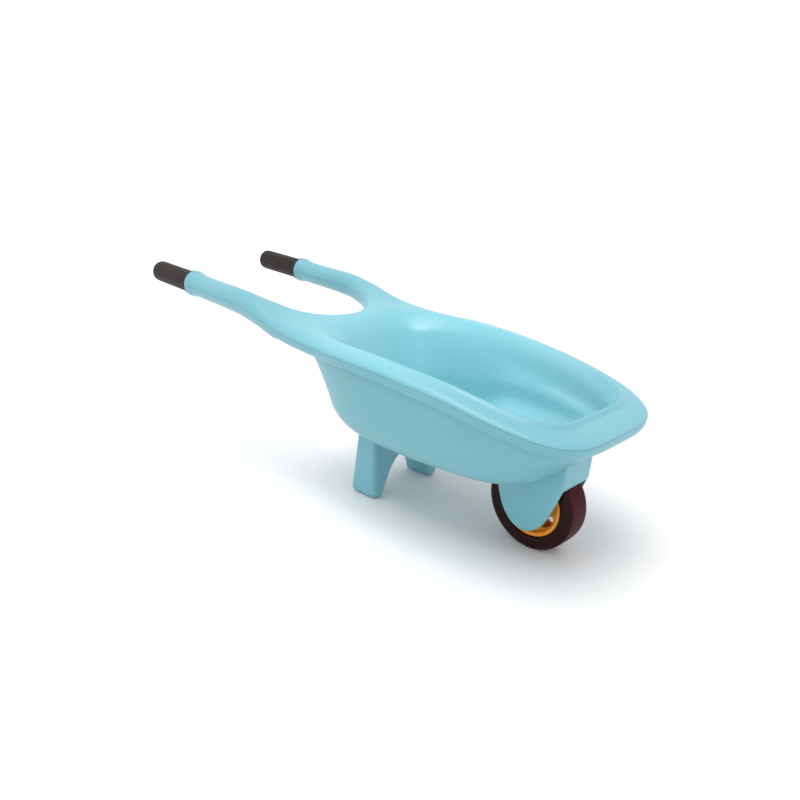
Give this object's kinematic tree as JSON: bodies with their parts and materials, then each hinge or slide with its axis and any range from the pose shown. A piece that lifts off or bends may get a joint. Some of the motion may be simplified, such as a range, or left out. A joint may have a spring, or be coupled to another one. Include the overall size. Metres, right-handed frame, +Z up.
{
  "type": "toy wheelbarrow",
  "caption": "Child's moulded plastic wheelbarrow: deep rolled-rim tub running into two handles with ribbed grips, arched leg stand, and a fork with a spoked wheel.",
  "frame": {"origin": "on the ground, in the middle of the whole length and width", "axes": "+X forwards towards the nose and the wheel, +Y to the barrow's left, +Z up"},
  "size_m": [0.751, 0.252, 0.2676],
  "materials": {
    "body_plastic": "pale aqua blue, satin moulded",
    "grip_rubber": "dark brown-black, ribbed lengthwise",
    "tyre_rubber": "dark brown-black, smooth and slightly glossy",
    "rim_plastic": "yellow-orange, glossy moulded",
    "steel": "zinc-plated steel",
    "spacer_plastic": "natural white acetal"
  },
  "bodies": {
    "barrow": {"tub_upper_shell": "body_plastic", "tub_lower_shell": "body_plastic", "leg_stand": "body_plastic", "wheel_fork": "body_plastic", "grip_right": "grip_rubber", "grip_left": "grip_rubber", "shell_screw_1": "steel", "shell_screw_2": "steel", "shell_screw_3": "steel", "shell_screw_4": "steel", "fork_screw_1": "steel", "fork_screw_2": "steel", "fork_screw_3": "steel", "fork_screw_4": "steel", "stand_screw_1": "steel", "stand_screw_2": "steel", "axle": "steel", "spacer_right": "spacer_plastic", "spacer_left": "spacer_plastic"},
    "wheel": {"tyre": "tyre_rubber", "rim_left": "rim_plastic", "rim_right": "rim_plastic", "hub_tube": "steel", "rim_screw_1": "steel", "rim_screw_2": "steel", "rim_screw_3": "steel"}
  },
  "joints": [
    {"name": "wheel_spin", "type": "hinge", "parent": "barrow", "child": "wheel", "pos_m": [0.2815, 0, 0.056], "axis": [0, 1, 0], "continuous": true}
  ]
}
